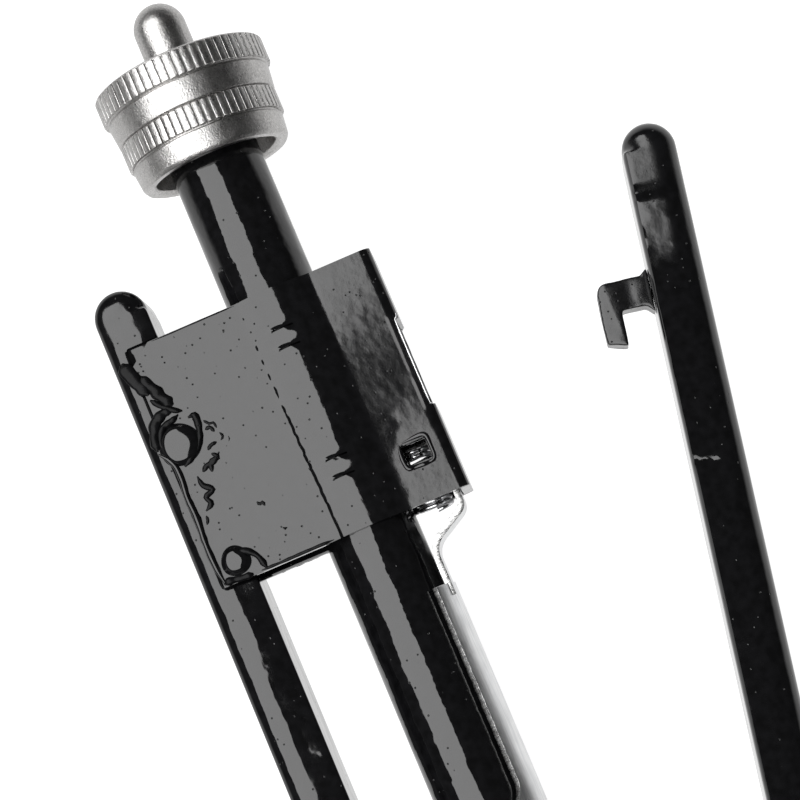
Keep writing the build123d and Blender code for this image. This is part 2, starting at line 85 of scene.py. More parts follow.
# ---- node helpers -------------------------------------------------------------------------------
def add_node(group, kind, settings=None, inputs=None):
    """Add a node, set it up, then fill its inputs with values or with other nodes' outputs."""
    made = group.nodes.new(kind)
    for key, value in (settings or {}).items():
        setattr(made, key, value)
    for key, value in (inputs or {}).items():
        if isinstance(value, bpy.types.NodeSocket):
            group.links.new(value, made.inputs[key])
        else:
            made.inputs[key].default_value = value
    return made


def calculate(group, operation, *values):
    """Output of a Math node, in a shader or a geometry tree."""
    inputs = dict(enumerate(values))
    return add_node(group, "ShaderNodeMath", {"operation": operation}, inputs).outputs[0]


# ---- finishes -----------------------------------------------------------------------------------
def new_finish(name, **sockets):
    """A material with one surface shader, and the object coordinates that its patterns follow."""
    finish = bpy.data.materials.new(name)
    finish.use_nodes = True
    group = finish.node_tree
    group.nodes.clear()
    values = {key.replace("_", " "): value for key, value in sockets.items()}
    shader = add_node(group, "ShaderNodeBsdfPrincipled", inputs=values)
    add_node(group, "ShaderNodeOutputMaterial", inputs={"Surface": shader.outputs[0]})
    place = add_node(group, "ShaderNodeTexCoord").outputs["Object"]
    return finish, group, shader, place


def stretched(group, place, x, y, z):
    """Coordinates scaled by x, y and z, so that a pattern runs long where the scale is small."""
    mapping = add_node(group, "ShaderNodeMapping", inputs={"Vector": place, "Scale": (x, y, z)})
    return mapping.outputs[0]


def grain(group, place, size, detail=2.0, roughness=0.5):
    """Noise from 0 to 1 whose grains are about size across."""
    inputs = {"Vector": place, "Scale": 1 / size, "Detail": detail, "Roughness": roughness}
    return add_node(group, "ShaderNodeTexNoise", inputs=inputs).outputs[0]


def pits(group, place, size, share):
    """Small round pits, 1 outside and 0 in the middle of a pit; share is how many cells have one."""
    cells = add_node(group, "ShaderNodeTexVoronoi", inputs={"Vector": place, "Scale": 1 / size})
    chosen = add_node(group, "ShaderNodeSeparateColor", inputs={0: cells.outputs["Color"]}).outputs[0]
    empty = calculate(group, "GREATER_THAN", chosen, share)
    edge = add_node(group, "ShaderNodeMapRange", {"interpolation_type": "SMOOTHSTEP"},
                    {"Value": cells.outputs["Distance"], "From Min": 0.04, "From Max": 0.16})
    return calculate(group, "MAXIMUM", edge.outputs[0], empty)


def between(group, factor, low, high):
    """factor from 0.25..0.75 spread over low..high."""
    inputs = {"Value": factor, "From Min": 0.25, "From Max": 0.75, "To Min": low, "To Max": high}
    return add_node(group, "ShaderNodeMapRange", inputs=inputs).outputs[0]


def shades(group, factor, dark, light):
    """factor turned into a colour between dark and light."""
    ramp = add_node(group, "ShaderNodeValToRGB", inputs={"Fac": factor})
    ramp.color_ramp.elements[0].position = 0.3
    ramp.color_ramp.elements[0].color = (*dark, 1)
    ramp.color_ramp.elements[1].position = 0.7
    ramp.color_ramp.elements[1].color = (*light, 1)
    return ramp.outputs[0]


def relief(group, shader, layers):
    """Relief from (height, depth in metres) layers, the coarsest first."""
    normal = None
    for height, depth in layers:
        inputs = {"Height": height, "Distance": depth}
        if normal is not None:
            inputs["Normal"] = normal
        normal = add_node(group, "ShaderNodeBump", inputs=inputs).outputs[0]
    group.links.new(normal, shader.inputs["Normal"])


def enamel(name, peel, sag, pit_share, dullness=0.0, shine=0.5):
    """Thick glossy black enamel: orange peel and slow sags, both in millimetres, and dust pits.
    Where the mesh has an overspray attribute, the skin is finer, rougher and duller there."""
    finish, group, shader, place = new_finish(name, IOR=1.5, Specular_IOR_Level=shine)
    skin = grain(group, place, 1.1 * MM, 1.0)
    group.links.new(shades(group, skin, (0.0022, 0.0022, 0.0024), (0.0045, 0.0045, 0.005)),
                    shader.inputs["Base Color"])
    holes = pits(group, place, 0.85 * MM, pit_share)
    gloss = between(group, grain(group, place, 3 * MM), 0.035 + dullness, 0.08 + dullness)
    dull = calculate(group, "SUBTRACT", 1.0, holes)
    spray = add_node(group, "ShaderNodeAttribute", {"attribute_name": "overspray"}).outputs["Fac"]
    rough = calculate(group, "MULTIPLY_ADD", dull, 0.3, gloss)
    rough = calculate(group, "MULTIPLY_ADD", spray, 0.2, rough)
    group.links.new(rough, shader.inputs["Roughness"])
    speckle = calculate(group, "MULTIPLY", grain(group, place, 0.5 * MM, 3.0, 0.6), spray)
    relief(group, shader, [(grain(group, place, 6 * MM, 1.0), sag * MM), (skin, peel * MM),
                           (speckle, 0.016 * MM), (holes, 0.07 * MM)])
    return finish


def satin_casting(name):
    """Satin nickel on a fine-grained casting."""
    finish, group, shader, place = new_finish(name, Metallic=1.0)
    tone = grain(group, place, 0.22 * MM, 3.0, 0.8)
    group.links.new(shades(group, tone, (0.27, 0.265, 0.26), (0.6, 0.59, 0.58)), shader.inputs["Base Color"])
    group.links.new(between(group, grain(group, place, 1.2 * MM, 3.0), 0.25, 0.36),
                    shader.inputs["Roughness"])
    specks = pits(group, place, 0.4 * MM, 0.05)
    relief(group, shader, [(grain(group, place, 1.6 * MM), 0.06 * MM), (specks, 0.02 * MM),
                           (grain(group, place, 0.2 * MM, 2.0, 0.6), 0.05 * MM)])
    return finish


def bright_sheet(name):
    """Bright plated sheet with fine rolling lines along the tool."""
    finish, group, shader, place = new_finish(name, Metallic=1.0)
    lines = grain(group, stretched(group, place, 0.06, 1, 1), 0.25 * MM, 3.0)
    tone = shades(group, lines, (0.7, 0.71, 0.72), (0.9, 0.9, 0.9))
    group.links.new(tone, shader.inputs["Base Color"])
    group.links.new(between(group, grain(group, place, 2 * MM, 3.0), 0.34, 0.46),
                    shader.inputs["Roughness"])
    relief(group, shader, [(grain(group, place, 2.5 * MM), 0.02 * MM), (lines, 0.006 * MM)])
    return finish


def sheared_edge(name):
    """Cut edge of plated sheet: fine marks across the sheet, bright on their crests."""
    finish, group, shader, place = new_finish(name, Metallic=1.0)
    marks = grain(group, stretched(group, place, 1, 0.2, 0.2), 0.16 * MM, 3.0, 0.7)
    group.links.new(shades(group, marks, (0.12, 0.12, 0.12), (0.85, 0.85, 0.84)), shader.inputs["Base Color"])
    group.links.new(between(group, grain(group, place, 0.6 * MM), 0.2, 0.45), shader.inputs["Roughness"])
    relief(group, shader, [(marks, 0.06 * MM)])
    return finish


def drawn_wire(name):
    """Bright drawn spring wire and strip."""
    finish, group, shader, place = new_finish(name, Metallic=1.0)
    tone = grain(group, place, 0.4 * MM, 3.0, 0.6)
    group.links.new(shades(group, tone, (0.42, 0.42, 0.43), (0.68, 0.68, 0.69)), shader.inputs["Base Color"])
    group.links.new(between(group, tone, 0.14, 0.3), shader.inputs["Roughness"])
    relief(group, shader, [(grain(group, place, 0.12 * MM, 2.0), 0.006 * MM)])
    return finish


def turned_steel(name):
    """Plain turned steel: fine rings round the barrel axis and faint oil stains."""
    finish, group, shader, place = new_finish(name, Metallic=1.0)
    rings = grain(group, stretched(group, place, 1, 0.05, 0.05), 0.16 * MM, 3.0)
    stain = grain(group, place, 2.2 * MM, 4.0, 0.6)
    group.links.new(shades(group, stain, (0.3, 0.29, 0.28), (0.5, 0.5, 0.5)), shader.inputs["Base Color"])
    group.links.new(between(group, rings, 0.22, 0.4), shader.inputs["Roughness"])
    relief(group, shader, [(rings, 0.012 * MM)])
    return finish


def table_top():
    """Pale table lit from below."""
    finish, group, shader, place = new_finish("pale_table", Emission_Strength=1.1, Roughness=0.9)
    tone = grain(group, place, 0.3, 3.0)
    group.links.new(shades(group, tone, (0.16, 0.16, 0.16), (0.2, 0.2, 0.2)), shader.inputs["Base Color"])
    group.links.new(shades(group, tone, (0.9, 0.9, 0.9), (0.94, 0.94, 0.94)), shader.inputs["Emission Color"])
    return finish


ENAMEL = enamel("black_enamel", peel=0.014, sag=0.05, pit_share=0.55)
HANDLE_ENAMEL = enamel("handle_enamel", peel=0.016, sag=0.11, pit_share=0.3)
TUBE_ENAMEL = enamel("tube_enamel", peel=0.03, sag=0.3, pit_share=0.25)
RUN_ENAMEL = enamel("enamel_runs", peel=0.01, sag=0.02, pit_share=0.0)
WRINKLE_ENAMEL = enamel("enamel_wrinkles", peel=0.09, sag=0.05, pit_share=0.4, dullness=0.22, shine=0.09)
SATIN = satin_casting("satin_nickel")
SHEET = bright_sheet("bright_zinc")
SHEARED = sheared_edge("sheared_edge")
WIRE = drawn_wire("spring_steel")
STEEL = turned_steel("plain_steel")


# ---- mesh helpers -------------------------------------------------------------------------------
SHARP_ANGLE = math.radians(40)
SHEET_BEVEL_ANGLE = math.radians(55)
MERGE = 1e-6


def in_scene(name, data):
    """New object in the scene that holds a mesh, a light or a camera."""
    made = bpy.data.objects.new(name, data)
    bpy.context.scene.collection.objects.link(made)
    return made


def new_piece(name, mesh, finish, body, slot, *replaced):
    """Hand a finished mesh over as a piece; with no body, it is attached to none."""
    for polygon in mesh.polygons:
        polygon.use_smooth = True
    mesh.set_sharp_from_angle(angle=SHARP_ANGLE)
    if not mesh.materials:
        mesh.materials.append(finish)
    piece = in_scene(name, mesh)
    if body:
        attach(piece, body)
    if replaced:
        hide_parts(*replaced)
    return piece


def mesh_from(name, points, faces):
    """Mesh from lists, with its faces turned outwards."""
    mesh = bpy.data.meshes.new(name)
    mesh.from_pydata(points, [], faces)
    form = bmesh.new()
    form.from_mesh(mesh)
    bmesh.ops.remove_doubles(form, verts=form.verts, dist=1e-7)
    bmesh.ops.recalc_face_normals(form, faces=form.faces)
    form.to_mesh(mesh)
    form.free()
    return mesh


def node_copy(name, node, place=None):
    """Closed copy of a CAD node's mesh, in the frame that place describes or else in the scene's."""
    form = bmesh.new()
    form.from_mesh(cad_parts[node].data)
    bmesh.ops.remove_doubles(form, verts=form.verts, dist=MERGE)
    if place is not None:
        bmesh.ops.transform(form, matrix=place.inverted(), verts=form.verts)
    bmesh.ops.recalc_face_normals(form, faces=form.faces)
    mesh = bpy.data.meshes.new(name)
    form.to_mesh(mesh)
    form.free()
    return mesh


def sprayed(mesh, amount):
    """Write a mesh's overspray attribute, from a function of the place."""
    spray = mesh.attributes.new("overspray", "FLOAT", "POINT")
    for vert, value in zip(mesh.vertices, spray.data):
        value.value = amount(vert.co)


def result_of(holder):
    """Plain mesh of an object with its modifiers run; the object is removed."""
    graph = bpy.context.evaluated_depsgraph_get()
    result = bpy.data.meshes.new_from_object(holder.evaluated_get(graph))
    holder.modifiers.clear()
    bpy.data.objects.remove(holder)
    return result


def shaped(name, mesh, *modifiers):
    """Run modifiers, given as (type, settings), on a mesh and return the plain result."""
    holder = in_scene(name, mesh)
    for kind, settings in modifiers:
        modifier = holder.modifiers.new(kind, kind)
        for key, value in settings.items():
            setattr(modifier, key, value)
    return result_of(holder)


def grown(name, mesh, tree, values):
    """Run a Geometry Nodes tree on a mesh with the named input values and return the plain result."""
    holder = in_scene(name, mesh)
    modifier = holder.modifiers.new(tree.name, "NODES")
    modifier.node_group = tree
    for item in tree.interface.items_tree:
        if item.in_out == "INPUT" and item.name in values:
            modifier[item.identifier] = values[item.name]
    return result_of(holder)


def joined(name, *meshes):
    """Several meshes as one."""
    form = bmesh.new()
    for mesh in meshes:
        form.from_mesh(mesh)
    whole = bpy.data.meshes.new(name)
    form.to_mesh(whole)
    form.free()
    return whole


def ring_faces(rings, steps, closed):
    """Faces between rings of steps points each; closed also joins the last ring to the first."""
    faces = []
    for ring in range(rings if closed else rings - 1):
        here = ring * steps
        there = (ring + 1) % rings * steps
        for step in range(steps):
            after = (step + 1) % steps
            faces.append((here + step, here + after, there + after, there + step))
    return faces


def lathe(name, outline, steps):
    """Turn a closed outline of (x, radius) points about the barrel axis."""
    points = []
    for x, radius in outline:
        for step in range(steps):
            turn = 2 * math.pi * step / steps
            points.append((x, AXIS.y + radius * math.cos(turn), AXIS.z + radius * math.sin(turn)))
    return mesh_from(name, points, ring_faces(len(outline), steps, True))


def new_tree(name, inputs):
    """Empty Geometry Nodes tree with named inputs, and its group input and output nodes."""
    tree = bpy.data.node_groups.new(name, "GeometryNodeTree")
    tree.interface.new_socket("Geometry", in_out="INPUT", socket_type="NodeSocketGeometry")
    for label, kind in inputs.items():
        tree.interface.new_socket(label, in_out="INPUT", socket_type="NodeSocket" + kind)
    tree.interface.new_socket("Geometry", in_out="OUTPUT", socket_type="NodeSocketGeometry")
    given = tree.nodes.new("NodeGroupInput").outputs
    return tree, given, tree.nodes.new("NodeGroupOutput")


def close_tree(tree, given, result, geometry):
    """End a tree with real geometry in its finish."""
    solid = add_node(tree, "GeometryNodeRealizeInstances", inputs={"Geometry": geometry}).outputs[0]
    inputs = {"Geometry": solid, "Material": given["Finish"]}
    painted = add_node(tree, "GeometryNodeSetMaterial", inputs=inputs).outputs[0]
    tree.links.new(painted, result.inputs[0])
    return tree


def knurl_tree():
    """Sets the given ridge round the barrel axis, each one a little uneven."""
    tree, given, result = new_tree("knurl", {
        "Count": "Int", "Radius": "Float", "Centre": "Vector", "Unevenness": "Float", "Seed": "Int",
        "Finish": "Material"})
    circle = add_node(tree, "GeometryNodeMeshCircle", inputs={
        "Vertices": given["Count"], "Radius": given["Radius"]}).outputs[0]
    place = add_node(tree, "GeometryNodeInputPosition").outputs[0]
    outwards = add_node(tree, "FunctionNodeAlignRotationToVector", {"axis": "X"}, {"Vector": place})
    smallest = calculate(tree, "SUBTRACT", 1.0, given["Unevenness"])
    largest = calculate(tree, "ADD", 1.0, given["Unevenness"])
    size = add_node(tree, "FunctionNodeRandomValue", {"data_type": "FLOAT"})
    tree.links.new(smallest, size.inputs[2])
    tree.links.new(largest, size.inputs[3])
    tree.links.new(given["Seed"], size.inputs["Seed"])
    ridges = add_node(tree, "GeometryNodeInstanceOnPoints", inputs={
        "Points": circle, "Instance": given["Geometry"], "Rotation": outwards.outputs[0],
        "Scale": size.outputs[1]}).outputs[0]
    placed = add_node(tree, "GeometryNodeTransform", inputs={
        "Geometry": ridges, "Translation": given["Centre"], "Rotation": (0, math.pi / 2, 0)}).outputs[0]
    return close_tree(tree, given, result, placed)


def coil_tree():
    """Compression spring along X with closed ends."""
    tree, given, result = new_tree("coil", {
        "Start": "Vector", "Length": "Float", "Turns": "Float", "Radius": "Float", "Wire": "Float",
        "Closed": "Float", "Finish": "Material"})
    spiral = add_node(tree, "GeometryNodeCurveSpiral", inputs={
        "Resolution": 28, "Rotations": given["Turns"], "Start Radius": given["Radius"],
        "End Radius": given["Radius"], "Height": 0.0}).outputs[0]
    along = add_node(tree, "GeometryNodeSplineParameter").outputs["Factor"]
    edge = calculate(tree, "DIVIDE", given["Closed"], given["Turns"])
    far_edge = calculate(tree, "SUBTRACT", 1.0, edge)
    packed = calculate(tree, "MULTIPLY", given["Closed"], given["Wire"])
    open_length = calculate(tree, "SUBTRACT", given["Length"], given["Wire"])
    open_length = calculate(tree, "MULTIPLY_ADD", packed, -2.0, open_length)
    climb = given["Wire"]
    climb = calculate(tree, "MULTIPLY", climb, 0.5)
    stretches = ((0.0, edge, packed), (edge, far_edge, open_length), (far_edge, 1.0, packed))
    for start, end, rise in stretches:
        share = add_node(tree, "ShaderNodeMapRange", inputs={
            "Value": along, "From Min": start, "From Max": end}).outputs[0]
        climb = calculate(tree, "MULTIPLY_ADD", share, rise, climb)
    raised = add_node(tree, "ShaderNodeCombineXYZ", inputs={"Z": climb}).outputs[0]
    line = add_node(tree, "GeometryNodeSetPosition", inputs={"Geometry": spiral, "Offset": raised}).outputs[0]
    half = calculate(tree, "MULTIPLY", given["Wire"], 0.5)
    section = add_node(tree, "GeometryNodeCurvePrimitiveCircle", {"mode": "RADIUS"},
                       {"Resolution": 10, "Radius": half}).outputs[0]
    wire = add_node(tree, "GeometryNodeCurveToMesh", inputs={
        "Curve": line, "Profile Curve": section, "Fill Caps": True}).outputs[0]
    placed = add_node(tree, "GeometryNodeTransform", inputs={
        "Geometry": wire, "Translation": given["Start"], "Rotation": (0, math.pi / 2, 0)}).outputs[0]
    return close_tree(tree, given, result, placed)


def run_tree():
    """A run of thick paint along the given line: uneven in width, tapered at its ends and flattened."""
    tree, given, result = new_tree("paint_run", {
        "Width": "Float", "Height": "Float", "Level": "Float", "Lumps": "Float", "Lump Size": "Float",
        "Finish": "Material"})
    line = add_node(tree, "GeometryNodeMeshToCurve", inputs={"Mesh": given["Geometry"]}).outputs[0]
    line = add_node(tree, "GeometryNodeCurveSplineType", {"spline_type": "CATMULL_ROM"},
                    {"Curve": line}).outputs[0]
    line = add_node(tree, "GeometryNodeResampleCurve", {"mode": "LENGTH"},
                    {"Curve": line, "Length": 0.25 * MM}).outputs[0]
    along = add_node(tree, "GeometryNodeSplineParameter").outputs["Factor"]
    from_end = calculate(tree, "PINGPONG", along, 0.5)
    taper = add_node(tree, "ShaderNodeMapRange", {"interpolation_type": "SMOOTHSTEP"}, {
        "Value": from_end, "From Max": 0.14, "To Min": 0.3}).outputs[0]
    fineness = calculate(tree, "DIVIDE", 1.0, given["Lump Size"])
    lumps = add_node(tree, "ShaderNodeTexNoise", inputs={"Scale": fineness, "Detail": 1.0}).outputs[0]
    spread = calculate(tree, "MULTIPLY_ADD", calculate(tree, "SUBTRACT", lumps, 0.5), given["Lumps"], 1.0)
    radius = calculate(tree, "MULTIPLY", calculate(tree, "MULTIPLY", spread, taper), given["Width"])
    section = add_node(tree, "GeometryNodeCurvePrimitiveCircle", {"mode": "RADIUS"},
                       {"Resolution": 14, "Radius": 1.0}).outputs[0]
    line = add_node(tree, "GeometryNodeSetCurveRadius", inputs={"Curve": line, "Radius": radius}).outputs[0]
    skin = add_node(tree, "GeometryNodeCurveToMesh", inputs={
        "Curve": line, "Profile Curve": section, "Fill Caps": True, "Scale": radius}).outputs[0]
    place = add_node(tree, "GeometryNodeInputPosition").outputs[0]
    split = add_node(tree, "ShaderNodeSeparateXYZ", inputs={0: place}).outputs
    above = calculate(tree, "SUBTRACT", split[2], given["Level"])
    flat = calculate(tree, "DIVIDE", given["Height"], given["Width"])
    low = calculate(tree, "MULTIPLY_ADD", above, flat, given["Level"])
    put = add_node(tree, "ShaderNodeCombineXYZ", inputs={"X": split[0], "Y": split[1], "Z": low}).outputs[0]
    skin = add_node(tree, "GeometryNodeSetPosition", inputs={"Geometry": skin, "Position": put}).outputs[0]
    return close_tree(tree, given, result, skin)


# ---- knob ---------------------------------------------------------------------------------------
KNOB_TOP = knob_low.x
KNOB_RIM = knob_high.x
KNOB_R = (knob_high.y - knob_low.y) / 2
KNOB_BORE_R = 7.6 * MM
KNOB_WEB = 3.0 * MM    # thickness of its end wall
SHANK_R = 2.52 * MM    # hole in the end wall
TURN_STEPS = 256
RIDGES = 62            # knurl ridges round each band
RIDGE_H = 0.34 * MM
RIDGE_SHARE = 0.84     # width of a ridge, as a share of the pitch
# Knurled bands: from and to, from the knob's top, and the radius over the ridges.
BANDS = ((0.55 * MM, 3.55 * MM, KNOB_R - 0.03 * MM), (6.9 * MM, 9.7 * MM, 9.82 * MM))


def ridge(length, width):
    """One knurl ridge: X points outwards, Z runs along it."""
    form = bmesh.new()
    bmesh.ops.create_cube(form, size=1)
    bmesh.ops.scale(form, vec=(2 * RIDGE_H, width, length), verts=form.verts)
    bmesh.ops.translate(form, vec=(-RIDGE_H, 0, 0), verts=form.verts)
    edges = [edge for edge in form.edges if all(vert.co.x > -0.1 * MM for vert in edge.verts)]
    bmesh.ops.bevel(form, geom=edges, offset=0.1 * MM, segments=2, profile=0.5, affect="EDGES")
    mesh = bpy.data.meshes.new("ridge")
    form.to_mesh(mesh)
    form.free()
    return mesh


def knob():
    """Cast knob: two knurled bands, a plain groove and skirt, open towards the bracket."""
    top, rim = KNOB_TOP, KNOB_RIM
    web = top + KNOB_WEB
    root = KNOB_R - RIDGE_H
    rounded_end = [(top, SHANK_R), (top, 8.9 * MM), (top + 0.12 * MM, 9.7 * MM),
                   (top + 0.5 * MM, KNOB_R - 0.1 * MM)]
    upper_band = [(top + 0.75 * MM, root), (top + 3.55 * MM, root)]
    plain_waist = [(top + 3.7 * MM, 10.0 * MM), (top + 3.85 * MM, 10.2 * MM), (top + 6.65 * MM, 9.87 * MM)]
    lower_band = [(top + 6.8 * MM, 9.55 * MM), (top + 7.0 * MM, 9.45 * MM), (top + 9.65 * MM, 9.4 * MM),
                  (top + 9.85 * MM, 9.2 * MM)]
    skirt = [(top + 10.0 * MM, 9.5 * MM), (rim - 0.5 * MM, 9.25 * MM), (rim, 8.9 * MM)]
    inside = [(rim, KNOB_BORE_R + 0.4 * MM), (rim - 0.4 * MM, KNOB_BORE_R), (web, KNOB_BORE_R),
              (web, SHANK_R)]
    outline = rounded_end + upper_band + plain_waist + lower_band + skirt + inside
    body = lathe("knob_body", outline, TURN_STEPS)
    body = shaped("knob_body", body, ("BEVEL", {"width": 0.09 * MM, "segments": 2, "angle_limit": 0.35}))
    parts = [body]
    tree = knurl_tree()
    for number, (start, end, radius) in enumerate(BANDS):
        width = 2 * math.pi * radius / RIDGES * RIDGE_SHARE
        centre = Vector((top + (start + end) / 2, AXIS.y, AXIS.z))
        parts.append(grown("knurl_band", ridge(end - start, width), tree, {
            "Count": RIDGES, "Radius": radius, "Centre": centre, "Unevenness": 0.012, "Seed": number + 3,
            "Finish": SATIN}))
    mesh = joined("cast_knob", *parts)
    for vert in mesh.vertices:
        vert.co += noise.noise_vector(vert.co / (2.2 * MM)) * 0.035 * MM
    return new_piece("cast_knob", mesh, SATIN, "twist_spindle", "satin_nickel", "knob")


knob()


# ---- springs ------------------------------------------------------------------------------------
COILS = coil_tree()
CLOSED_TURNS = 1.5     # turns that touch at each end


def spring(name, node, turns, wire):
    """Coil spring in the place of its CAD node, on the fixed side."""
    low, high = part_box(node)
    start = Vector((low.x, (low.y + high.y) / 2, (low.z + high.z) / 2))
    empty = bpy.data.meshes.new(name)
    mesh = grown(name, empty, COILS, {
        "Start": start, "Length": high.x - low.x, "Turns": float(turns), "Wire": wire,
        "Radius": (high.y - low.y - wire) / 2, "Closed": CLOSED_TURNS, "Finish": WIRE})
    piece = new_piece(name, mesh, WIRE, "fixed_side", "spring_steel", node)
    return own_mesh(piece)


spring("lock_coil", "lock_spring", turns=8, wire=0.6 * MM)
spring("return_coil", "return_spring", turns=24, wire=0.8 * MM)


# ---- lock bracket -------------------------------------------------------------------------------
# Sizes from here on are in millimetres, unless a line says MM.
SHEET_T = 1.2
PLATE_Z = 5.8          # outer face of the flat plates, from the barrel axis
EDGE_Y = -17.7         # free edges on the fixed handle
WALL_Y = 12.75
FOLD_R = 1.3
SWELL_Y = 0.4          # middle of the swell over the tube
SWELL_HALF = 4.4
SWELL_R = 10.18
SWELL_Z = -3.38        # centre of the swell's arc
CREASE = (-4.7, -2.7)  # the dotted crease beside the swell lies between these
CRIMP_HALF = 1.3       # half width of the crimps over the tube
CRIMPS = (6.0, 22.2)   # middles of the crimps, from the bracket's rear end
CRIMP_GAP = 2.3
SLIT = 0.2
SLOT = (8.8, 19.6)     # hook slot in the wall, from the rear end
SLOT_HALF = 5.5
WINDOW = (22.8, 25.3, 7.1, 10.1)  # from, to, lower y, upper y
CORNER = (2.0, 2.6)    # cut off the rear corners
LENGTH = 29.8
MESH_STEP = 0.3        # coarsest spacing of the sheet's points
FINE_STEP = 0.1        # spacing across the dotted crease


def steps_between(stops, step):
    """Values from the first stop to the last that keep every stop, at most step apart."""
    values = [stops[0]]
    for start, end in zip(stops, stops[1:]):
        count = max(1, math.ceil(abs(end - start) / step))
        values += [start + (end - start) * (i + 1) / count for i in range(count)]
    return values


def hump(value, width):
    """Smooth bump of height 1 at 0 that fades over width."""
    return math.exp(-(value / width) ** 2)


def ramp(value, start, end):
    """0 before start, 1 after end, smooth between."""
    share = min(1.0, max(0.0, (value - start) / (end - start)))
    return share * share * (3 - 2 * share)


def band(value, start, full, fading, end):
    """1 between full and fading, 0 before start and after end, smooth between."""
    return ramp(value, start, full) * (1 - ramp(value, fading, end))


def plate_height(y):
    """Height of a plate over the barrel axis, with soft creases at the swell's feet."""
    shifts = (-0.3, -0.15, 0.0, 0.15, 0.3)
    total = 0.0
    for shift in shifts:
        off = min(abs(y + shift - SWELL_Y), SWELL_HALF)
        total += SWELL_Z + math.sqrt(SWELL_R ** 2 - off ** 2)
    return total / len(shifts)


def bracket_skin(place):
    """Overspray of the bracket: its plates beyond the swell, most over the middle."""
    along = (place.x - bracket_low.x) / MM
    y = (place.y - AXIS.y) / MM
    return ramp(y, 4.2, 6.0) * (0.45 + 0.15 * hump(along - 11.0, 6.0))


def twist(along, y):
    """How far the plate beyond the swell leans outwards; the leaning part widens towards the window."""
    width = 3.2 * ramp(along, 4.0, 21.0) + 0.7 * noise.noise(Vector((along / 1.5, 0.0, 5.0)))
    width = max(0.0, width - 1.8 * ramp(along, 20.5, 24.0))
    middle = 0.06 * hump(along - 13.5, 6.0) - 0.014
    return 0.055 * min(max(0.0, y - 4.4), width) + middle * max(0.0, y - 4.4 - width)


def plate_relief(along, y, side):
    """Dents, sags and wrinkles of the enamelled plate, in millimetres, at along from the rear end."""
    spot = Vector((along, y, side * 9.0))
    height = 0.03 * noise.noise(spot / 6.0)
    height += 0.004 * hump(y, 2.5) * noise.noise(spot / 0.8)
    hammered = ramp(y, 4.6, 6.0) * (0.25 + 0.75 * band(along, 3.0, 8.0, 17.0, 22.0))
    height += hammered * (0.014 * noise.noise(spot / 1.25) + 0.012 * noise.noise(spot / 0.75))
    height -= twist(along, y)
    dotted = ramp(noise.noise(Vector((along * 2.2, side, 2.0))) + 0.03 * (along - 15), -0.1, 0.15)
    ragged = 0.12 * noise.noise(Vector((along * 1.3, side, 7.0)))
    ragged += 0.06 * noise.noise(Vector((along * 4, 3, 7.0)))
    height -= dotted * 0.1 * hump(y + 4.05 - 0.027 * along + ragged, 0.15 + 0.005 * along)
    for crimp in CRIMPS:
        lean = 0.25 * (y + 0.2)
        for edge in (-1, 1):
            off = along - crimp - edge * (CRIMP_GAP / 2 + lean * edge * 0.4)
            height += 0.3 * hump(off, 0.3) * max(0.0, 1 - ((y + 0.4) / 1.7) ** 2)
        height -= 0.06 * hump(along - crimp, 0.7) * max(0.0, 1 - (y / 1.5) ** 2)
    return height


def section_points():
    """Outer line of the folded sheet: (y, z, outward y, outward z, plate side or 0 on the wall)."""
    points = []
    foot = SWELL_Y + SWELL_HALF
    across = steps_between((EDGE_Y, CREASE[0]), MESH_STEP) + steps_between(CREASE, FINE_STEP)[1:]
    beyond = (CREASE[1], -CRIMP_HALF, CRIMP_HALF, foot, *WINDOW[2:], WALL_Y - FOLD_R)
    across += steps_between(beyond, MESH_STEP)[1:]
    for y in across:
        slope = (plate_height(y + 0.01) - plate_height(y - 0.01)) / 0.02
        size = math.hypot(1, slope)
        points.append((y, plate_height(y), -slope / size, 1 / size, 1))
    stop = math.degrees(math.asin((SLOT_HALF - PLATE_Z + FOLD_R) / FOLD_R))
    for angle in steps_between((90, stop, 0), 6)[1:]:
        out_y = math.cos(math.radians(angle))
        out_z = math.sin(math.radians(angle))
        points.append((WALL_Y - FOLD_R + FOLD_R * out_y, PLATE_Z - FOLD_R + FOLD_R * out_z, out_y, out_z, 0))
    for z in steps_between((PLATE_Z - FOLD_R, 0), 0.35)[1:]:
        points.append((WALL_Y, z, 1.0, 0.0, 0))
    mirrored = [(y, -z, out_y, -out_z, -side) for y, z, out_y, out_z, side in reversed(points[:-1])]
    return points + mirrored


def in_opening(along, y, z, on_wall):
    """Whether a point of the sheet lies in the hook slot, a window or a crimp's slit."""
    if on_wall:
        return SLOT[0] < along < SLOT[1] and abs(z) < SLOT_HALF
    if WINDOW[0] < along < WINDOW[1] and WINDOW[2] < y < WINDOW[3]:
        return True
    if abs(y) > CRIMP_HALF:
        return False
    return any(abs(abs(along - crimp) - CRIMP_GAP / 2) < SLIT / 2 for crimp in CRIMPS)


